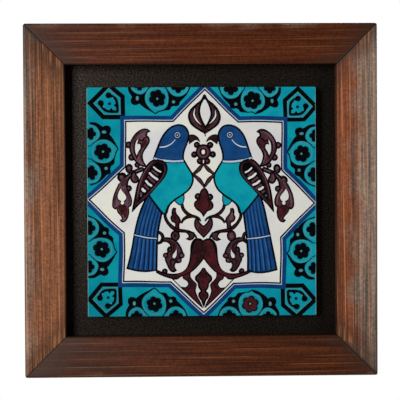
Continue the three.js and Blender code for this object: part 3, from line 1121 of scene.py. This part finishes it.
    # The joints hold dark wax, the outer arrises are darkened, and the inner arrises, at the edge of the
    # recess, are darkened with painted shade.
    half, opening = FRAME_HALF, FRAME_HALF - (TOP_HIGH.z - TOP_LOW.z)
    edge = add_node(tree, "MapRange", {0: across, 1: half - 1.3 * MM, 2: half})
    inner = add_node(tree, "MapRange", {0: across, 1: opening + 1.8 * MM, 2: opening})
    joint = add_node(tree, "MapRange", {0: mitre, 1: 0.9 * MM, 2: 0.2 * MM})
    for other in (inner, joint):
        edge = add_node(tree, "Math", {0: edge.outputs[0], 1: other.outputs[0]}, operation="MAXIMUM")
    edge = add_node(tree, "Math", {0: edge.outputs[0], 1: 0.7}, operation="MULTIPLY")
    # The back was left bare.
    back = add_node(tree, "MapRange", {0: parts[1], 1: -0.9 * MM, 2: -0.2 * MM})
    layers += [(edge, tinted(linear(DARK_WAX_AND_SHADE), 1)), (back, tinted(linear(BARE_BACK), 1))]
    for amount, tone in layers:
        mixed = {0: amount.outputs[0], 6: colour.outputs[2], 7: tone}
        colour = add_node(tree, "Mix", mixed, data_type="RGBA")
    tree.links.new(colour.outputs[2], shader.inputs["Base Color"])
    # No shine down in the joints.
    shine = add_node(tree, "MapRange", {0: joint.outputs[0], 3: 0.16, 4: 0.0})
    tree.links.new(shine.outputs[0], shader.inputs["Specular IOR Level"])
    bump = add_node(tree, "Bump", {"Height": drawn["grain"], "Strength": 0.35, "Distance": 0.12 * MM})
    tree.links.new(bump.outputs[0], shader.inputs["Normal"])
    return made


def board_material(black):
    """Fibreboard rolled with black paint, whose stipple catches the side light. Its back is bare."""
    made, tree, shader, place = new_material(
        "black_painted_fibreboard", roughness=0.45, ior=1.5,
        Specular_Tint=tinted(linear(WARM_SHINE), 1), Specular_IOR_Level=0.15,
    )
    stipple = add_node(tree, "TexNoise", {"Vector": place, "Scale": 1 / (1.4 * MM), "Detail": 2.0})
    amount = add_node(tree, "MapRange", {0: stipple.outputs[0], 1: 0.36, 2: 0.68})
    ends = {6: tinted(black, 0.5), 7: tinted(black, 1.8)}
    paint = add_node(tree, "Mix", {0: amount.outputs[0], **ends}, data_type="RGBA")
    depth = add_node(tree, "SeparateXYZ", {0: place}).outputs[1]
    back = add_node(tree, "MapRange", {0: depth, 1: BOARD_HIGH.y - 0.5 * MM, 2: BOARD_HIGH.y - 0.1 * MM})
    fibres = add_node(tree, "TexNoise", {"Vector": place, "Scale": 1 / (2.5 * MM), "Detail": 4.0})
    brown = add_node(tree, "Mix", {0: fibres.outputs[0], **toned(*FIBRE_TONES)}, data_type="RGBA")
    mixed = {0: back.outputs[0], 6: paint.outputs[2], 7: brown.outputs[2]}
    colour = add_node(tree, "Mix", mixed, data_type="RGBA")
    tree.links.new(colour.outputs[2], shader.inputs["Base Color"])
    shine = add_node(tree, "MapRange", {0: amount.outputs[0], 3: 0.05, 4: 0.25})
    tree.links.new(shine.outputs[0], shader.inputs["Specular IOR Level"])
    bump = add_node(tree, "Bump", {"Height": stipple.outputs[0], "Strength": 0.8, "Distance": 0.35 * MM})
    tree.links.new(bump.outputs[0], shader.inputs["Normal"])
    return made


def deselect_all():
    """Leaves edit mode and lets go of every piece."""
    if bpy.context.object and bpy.context.object.mode != "OBJECT":
        bpy.ops.object.mode_set(mode="OBJECT")
    bpy.ops.object.select_all(action="DESELECT")


def make_active(piece):
    """Picks one piece alone."""
    deselect_all()
    piece.select_set(True)
    bpy.context.view_layer.objects.active = piece


def settle(piece):
    """Puts a piece's place, turn and scale into its mesh."""
    make_active(piece)
    bpy.ops.object.transform_apply(location=True, rotation=True, scale=True)


def block(name, low, high):
    """A box primitive at its size and place."""
    deselect_all()
    bpy.ops.mesh.primitive_cube_add(size=1, location=(low + high) / 2, scale=high - low)
    piece = bpy.context.object
    piece.name = piece.data.name = name
    settle(piece)
    return piece


def ease_edges(piece, test, radius, segments):
    """Rounds the edges whose two ends pass a test."""
    make_active(piece)
    bpy.ops.object.mode_set(mode="EDIT")
    bpy.ops.mesh.select_mode(type="EDGE")
    bpy.ops.mesh.select_all(action="DESELECT")
    edited = bmesh.from_edit_mesh(piece.data)
    for edge in edited.edges:
        if all(test(vertex.co) for vertex in edge.verts):
            edge.select_set(True)
    bmesh.update_edit_mesh(piece.data)
    bpy.ops.mesh.bevel(offset=radius, segments=segments, profile=0.5)
    bpy.ops.object.mode_set(mode="OBJECT")


def near(value, target):
    """Whether two places on a piece are the same one."""
    return abs(value - target) < SAME_PLACE


def dress(piece, node, material, angle=30):
    """Finishes a new piece: its material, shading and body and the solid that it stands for."""
    if material:
        piece.data.materials.clear()
        piece.data.materials.append(material)
    make_active(piece)
    bpy.ops.object.shade_smooth_by_angle(angle=math.radians(angle))
    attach(piece, "root")
    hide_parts(node)


def cut_rail(sizes):
    """The top rail: a bar with its arrises eased, rabbeted for the board and mitred at both ends."""
    low, high = TOP_LOW.copy(), TOP_HIGH.copy()
    low.x, high.x = -FRAME_HALF, FRAME_HALF
    end = high.x - sizes.joint_gap / math.sqrt(2)
    rail = block("wood_rail_top", low, high)
    # The frame's outer corners are sanded round, then the arrises are eased along them.
    ease_edges(rail, lambda p: near(abs(p.x), high.x) and near(p.z, high.z), sizes.corner_round, 8)
    outer = high.z - 1.1 * sizes.corner_round
    ease_edges(rail, lambda p: near(p.y, low.y) and p.z > outer, sizes.front_arris, 5)
    ease_edges(rail, lambda p: near(p.y, low.y) and near(p.z, low.z), sizes.front_arris, 5)
    ease_edges(rail, lambda p: near(p.y, high.y) and p.z > outer, sizes.back_arris, 3)
    rabbet = block(
        "rabbet_cutter",
        Vector((low.x - CLEARANCE, high.y - sizes.pocket_depth, low.z - CLEARANCE)),
        Vector((high.x + CLEARANCE, high.y + CLEARANCE, low.z + sizes.pocket_width)),
    )
    make_active(rail)
    cut = rail.modifiers.new("rabbet", "BOOLEAN")
    cut.operation, cut.object, cut.solver = "DIFFERENCE", rabbet, "EXACT"
    bpy.ops.object.modifier_apply(modifier=cut.name)
    bpy.data.objects.remove(rabbet)
    for side in (-1, 1):
        make_active(rail)
        bpy.ops.object.mode_set(mode="EDIT")
        bpy.ops.mesh.select_all(action="SELECT")
        bpy.ops.mesh.bisect(
            plane_co=(side * end, 0, high.z), plane_no=(side, 0, -1), use_fill=True, clear_outer=True,
        )
        bpy.ops.object.mode_set(mode="OBJECT")
    # The planed ends are softened a touch, so that each joint shows as a fine dark line.
    front = low.y + sizes.front_arris
    ease_edges(
        rail, lambda p: near(abs(p.x) - end, p.z - high.z) and p.y < front, sizes.joint_ease, 2,
    )
    return rail


def rounded_square(half, radius):
    """A square with rounded corners about the origin, anticlockwise."""
    inner = half - radius
    points = []
    for quarter, (su, sv) in enumerate(((1, 1), (-1, 1), (-1, -1), (1, -1))):
        for k in range(CORNER_STEPS + 1):
            angle = math.radians(90 * quarter + 90 * k / CORNER_STEPS)
            points.append(polar((su * inner, sv * inner), radius, angle))
    return points


def waver(u, v):
    """The small waver of a hand that follows a pounced pattern, so that no two halves are quite alike."""
    return (
        u + 0.28 * math.sin(v / 9.1 + 0.4) + 0.2 * math.sin(u / 7.3 + v / 13 + 1.1),
        v + 0.26 * math.sin(u / 8.3 + 2.0) + 0.2 * math.sin(v / 6.1 - u / 11),
    )


def covers(shape, points):
    """Which points a shape covers. Where a stroke crosses itself it covers, but a fold at a tip doesn't."""
    across, up = points[:, 0], points[:, 1]
    turns = np.zeros(len(points), int)
    ends = np.roll(shape, -1, axis=0)
    winding = np.sign((shape[:, 0] * ends[:, 1] - ends[:, 0] * shape[:, 1]).sum())
    for (au, av), (bu, bv) in zip(shape, ends):
        side = (bu - au) * (up - av) - (across - au) * (bv - av)
        turns += ((av <= up) & (bv > up) & (side > 0)) * 1
        turns -= ((av > up) & (bv <= up) & (side < 0)) * 1
    return turns * winding > 0


def paint_face(half, ease, corner):
    """Cuts the tile's face along every brush outline. Returns its points, triangles and their glazes."""
    shapes = []
    cos, sin = (PATTERN_SCALE * f(math.radians(PATTERN_TURN)) for f in (math.cos, math.sin))
    for glaze, points in picture():
        wavered = np.array([waver(u, v) for u, v in points]) @ ((cos, sin), (-sin, cos))
        wavered += (PATTERN_SHIFT_U, PATTERN_SHIFT_V)
        if (np.abs(wavered).min(axis=0) < half).all():
            shapes.append((glaze, wavered))
    # Rings round the face let its edge drop away, and a last one bounds the rim.
    insets = [ease * (1 - math.sin(math.radians(90 * k / EASE_STEPS))) for k in range(EASE_STEPS + 1)]
    rings = [
        np.array(rounded_square(half - inset, max(corner - inset, 0.3))) for inset in (*insets, RIM_WIDTH)
    ]
    coords, edges = [], []
    for outline_points in [points for _, points in shapes] + rings:
        first, count = len(coords), len(outline_points)
        coords += [Vector(p) for p in outline_points]
        edges += [(first + k, first + (k + 1) % count) for k in range(count)]
    points, _, triangles, *_ = delaunay_2d_cdt(coords, edges, [], 0, MERGE, False)
    points = np.array([tuple(p) for p in points])
    triangles = np.array([t for t in triangles if len(t) == 3])
    middles = points[triangles].mean(axis=1)
    on_tile = covers(rings[0], middles)
    triangles, middles = triangles[on_tile], middles[on_tile]
    names = list(GLAZES)
    glazes = np.zeros(len(triangles), int)
    for glaze, shape in shapes:
        low, high = shape.min(axis=0), shape.max(axis=0)
        close = np.nonzero(((middles >= low) & (middles <= high)).all(axis=1))[0]
        glazes[close[covers(shape, middles[close])]] = names.index(glaze)
    # The rim down the left and right sides is glazed pale: thin glaze, with a painted highlight where the
    # side lights catch the eased edge.
    glazes[np.abs(middles[:, 0]) > half - RIM_WIDTH] = names.index("rim")
    return points, triangles, glazes


def draped(u, v, half, ease, corner):
    """How far the eased edge has dropped away behind the face at a point, in millimetres."""
    beyond_u, beyond_v = abs(u) - (half - corner), abs(v) - (half - corner)
    outside = math.hypot(max(beyond_u, 0), max(beyond_v, 0)) + min(max(beyond_u, beyond_v), 0) - corner
    slope = min(max(outside + ease, 0), ease)
    return ease - math.sqrt(max(ease * ease - slope * slope, 0))


def bake_map(tile, centre, half):
    """Lays the face, the sides and the back out apart from each other on one map, the face largest."""
    layer = tile.data.uv_layers.new(name="OFBake")
    for polygon in tile.data.polygons:
        normal = polygon.normal
        for loop in polygon.loop_indices:
            point = tile.data.vertices[tile.data.loops[loop].vertex_index].co - centre
            u, v, depth = point.x / MM / half / 2 + 0.5, point.z / MM / half / 2 + 0.5, point.y / MM
            on_face = (MAP_EDGE + FACE_SHARE * u, MAP_EDGE + FACE_SHARE * v)
            if polygon.material_index < len(GLAZES):
                place = on_face
            elif normal.y > 0.5:
                place = (BESIDE_FACE + BACK_SHARE * u, BESIDE_FACE + BACK_SHARE * v)
            elif abs(normal.x) > abs(normal.z):
                strip = 0 if normal.x > 0 else STRIP
                place = (BESIDE_FACE + strip + depth * DEPTH_SHARE, on_face[1])
            else:
                strip = 0 if normal.z > 0 else STRIP
                place = (on_face[0], BESIDE_FACE + strip + depth * DEPTH_SHARE)
            layer.data[loop].uv = place


def fire_tile(sizes, colours):
    """The tile. Its face is laid from the brush outlines, and its body is drawn back from its rim."""
    centre = (TILE_LOW + TILE_HIGH) / 2
    half = (TILE_HIGH.x - TILE_LOW.x) / 2 / MM
    ease, corner = sizes.tile_ease / MM, sizes.tile_corner / MM
    points, triangles, glazes = paint_face(half, ease, corner)
    used = np.unique(triangles)
    renumbered = {old: new for new, old in enumerate(used)}
    spots = [
        (centre.x + u * MM, TILE_LOW.y + draped(u, v, half, ease, corner) * MM, centre.z + v * MM)
        for u, v in points[used]
    ]
    mesh = bpy.data.meshes.new("painted_tile")
    mesh.from_pydata(spots, [], [[renumbered[i] for i in t] for t in triangles])
    mesh.polygons.foreach_set("material_index", glazes.astype(np.int32))
    tile = bpy.data.objects.new("painted_tile", mesh)
    bpy.context.collection.objects.link(tile)
    for key, (name, _, *clouds) in GLAZES.items():
        mesh.materials.append(glaze_material(name, getattr(colours, key), *clouds))
    mesh.materials.append(clay_material())
    make_active(tile)
    bpy.ops.object.mode_set(mode="EDIT")
    bpy.ops.mesh.select_mode(type="EDGE")
    steps = (
        (TILE_HIGH.y - sizes.tile_ease, 1.0),
        (TILE_HIGH.y - BACK_EASE * sizes.tile_ease, 1 - BACK_EASE * ease / half),
        (TILE_HIGH.y, 1 - ease / half),
    )
    for depth, shrink in steps:
        bpy.ops.mesh.select_all(action="DESELECT")
        bpy.ops.mesh.select_non_manifold(
            use_wire=False, use_multi_face=False, use_non_contiguous=False, use_verts=False,
        )
        bpy.ops.mesh.extrude_edges_move()
        edited = bmesh.from_edit_mesh(mesh)
        for vertex in edited.verts:
            if vertex.select:
                vertex.co.y = depth
                vertex.co.x = centre.x + (vertex.co.x - centre.x) * shrink
                vertex.co.z = centre.z + (vertex.co.z - centre.z) * shrink
        bmesh.update_edit_mesh(mesh)
    bpy.ops.mesh.edge_face_add()
    edited = bmesh.from_edit_mesh(mesh)
    for face in edited.faces:
        if face.calc_center_median().y > TILE_LOW.y + sizes.tile_ease + GLAZED_DEPTH:
            face.material_index = len(GLAZES)
    bmesh.update_edit_mesh(mesh)
    bpy.ops.mesh.select_all(action="SELECT")
    bpy.ops.mesh.normals_make_consistent(inside=False)
    bpy.ops.object.mode_set(mode="OBJECT")
    bake_map(tile, Vector((centre.x, TILE_LOW.y, centre.z)), half)
    return tile


class FramedTileSizes(bpy.types.PropertyGroup):
    """The lengths that a user may change"""
    __annotations__ = {
        key: bpy.props.FloatProperty(name=name, description=text, default=size * MM, unit="LENGTH")
        for key, (name, text, size) in SIZES.items()
    }


class FramedTileColours(bpy.types.PropertyGroup):
    """The stains, the paint and the glazes that a user may change"""
    __annotations__ = {
        key: bpy.props.FloatVectorProperty(
            name=name, description="Colour of " + name, subtype="COLOR", size=3, min=0, max=1,
            default=linear(colour),
        )
        for key, (name, colour, *_) in (*STAINS.items(), *GLAZES.items())
    }


class FRAMEDTILE_OT_rails(bpy.types.Operator):
    """Cuts the four mitred rails, one from the last by a quarter turn"""
    bl_idname = "framedtile.rails"
    bl_label = "Cut the rails"

    def execute(self, context):
        rail = cut_rail(context.scene.framed_tile_sizes)
        colours = context.scene.framed_tile_colours
        for quarter, (node, slot, along, *wear) in enumerate(RAILS):
            piece = rail
            if quarter:
                piece = rail.copy()
                piece.data = rail.data.copy()
                piece.name = piece.data.name = "wood_" + node
                context.collection.objects.link(piece)
                turn = Matrix.Rotation(quarter * math.pi / 2, 4, "Y")
                shift = Matrix.Translation(FRAME_CENTRE)
                piece.matrix_world = shift @ turn @ Matrix.Translation(-FRAME_CENTRE)
                settle(piece)
            look = wood_material(
                "stained_softwood_" + node, along, getattr(colours, node), colours.streak, colours.worn,
                *wear,
            )
            dress(piece, node, look)
        return {"FINISHED"}


class FRAMEDTILE_OT_board(bpy.types.Operator):
    """Cuts the black board that the tile is glued to"""
    bl_idname = "framedtile.board"
    bl_label = "Cut the backing board"

    def execute(self, context):
        board = block("black_backing_board", BOARD_LOW, BOARD_HIGH)
        ease_edges(board, lambda p: True, BOARD_EASE, 2)
        look = board_material(context.scene.framed_tile_colours.board)
        dress(board, "backing_board", look)
        return {"FINISHED"}


class FRAMEDTILE_OT_tile(bpy.types.Operator):
    """Lays the painted and glazed tile"""
    bl_idname = "framedtile.tile"
    bl_label = "Paint and fire the tile"

    def execute(self, context):
        scene = context.scene
        tile = fire_tile(scene.framed_tile_sizes, scene.framed_tile_colours)
        dress(tile, "wall_tile", None, 35)
        return {"FINISHED"}


def soft_light(name, place, width, height, power):
    """A soft box that faces the frame."""
    data = bpy.data.lights.new(name, "AREA")
    data.shape, data.size, data.size_y, data.energy = "RECTANGLE", width, height, power
    light = bpy.data.objects.new(name, data)
    light.location = place
    light.rotation_euler = (FRAME_CENTRE - Vector(place)).to_track_quat("-Z", "Y").to_euler()
    bpy.context.collection.objects.link(light)


class FRAMEDTILE_OT_stage(bpy.types.Operator):
    """Sets the floor, the light and the camera"""
    bl_idname = "framedtile.stage"
    bl_label = "Set the stage"

    def execute(self, context):
        deselect_all()
        bpy.ops.mesh.primitive_circle_add(
            vertices=96, radius=FLOOR_RADIUS, fill_type="NGON", location=(0, 0, FLOOR_HEIGHT),
        )
        floor = context.object
        floor.name = "pale_floor"
        paint = new_material(
            "matt_pale_floor", roughness=0.9, ior=1.45, Base_Color=tinted(linear(FLOOR_TONE), 1),
        )[0]
        floor.data.materials.append(paint)

        for name, settings in LIGHTS.items():
            soft_light(name, *settings)

        world = bpy.data.worlds.new("white_studio")
        context.scene.world = world
        world.use_nodes = True
        tree = world.node_tree
        tree.nodes.clear()
        seen = add_node(tree, "Background", {"Color": (1, 1, 1, 1), "Strength": 1.0})
        felt = add_node(tree, "Background", {"Color": (1, 1, 1, 1), "Strength": AMBIENT})
        ray = add_node(tree, "LightPath", {}).outputs["Is Camera Ray"]
        both = add_node(tree, "MixShader", {0: ray, 1: felt.outputs[0], 2: seen.outputs[0]})
        add_node(tree, "OutputWorld", {0: both.outputs[0]})

        data = bpy.data.cameras.new("photo_camera")
        data.lens, data.sensor_width = CAMERA_LENS, 36.0
        data.clip_start, data.clip_end = 0.05, 20.0
        camera = bpy.data.objects.new("photo_camera", data)
        context.collection.objects.link(camera)
        turn = (
            Matrix.Rotation(math.radians(CAMERA_YAW), 3, "Z")
            @ Matrix.Rotation(math.radians(CAMERA_PITCH), 3, "X")
            @ Matrix.Rotation(math.radians(CAMERA_ROLL), 3, "Y")
        )
        right, ahead, up = turn.col
        facing = Matrix((right, up, -ahead)).transposed().to_quaternion()
        camera.matrix_world = Matrix.LocRotScale(Vector(CAMERA_PLACE), facing, None)
        context.scene.camera = camera
        context.scene.view_settings.view_transform = "Standard"
        return {"FINISHED"}


class FRAMEDTILE_PT_panel(bpy.types.Panel):
    """Lists the steps and the sizes"""
    bl_idname = "FRAMEDTILE_PT_panel"
    bl_label = "Framed Tile"
    bl_space_type = "VIEW_3D"
    bl_region_type = "UI"
    bl_category = "Framed Tile"

    def draw(self, context):
        for step in STEPS:
            self.layout.operator(step.bl_idname)
        for group in (context.scene.framed_tile_sizes, context.scene.framed_tile_colours):
            for name in group.__annotations__:
                self.layout.prop(group, name)


STEPS = (FRAMEDTILE_OT_rails, FRAMEDTILE_OT_board, FRAMEDTILE_OT_tile, FRAMEDTILE_OT_stage)
CLASSES = (FramedTileSizes, FramedTileColours, *STEPS, FRAMEDTILE_PT_panel)


def register():
    for made in CLASSES:
        bpy.utils.register_class(made)
    bpy.types.Scene.framed_tile_sizes = bpy.props.PointerProperty(type=FramedTileSizes)
    bpy.types.Scene.framed_tile_colours = bpy.props.PointerProperty(type=FramedTileColours)


def unregister():
    del bpy.types.Scene.framed_tile_colours
    del bpy.types.Scene.framed_tile_sizes
    for made in reversed(CLASSES):
        bpy.utils.unregister_class(made)


def main():
    register()
    bpy.ops.framedtile.rails()
    bpy.ops.framedtile.board()
    bpy.ops.framedtile.tile()
    bpy.ops.framedtile.stage()


if __name__ == "__main__":
    main()
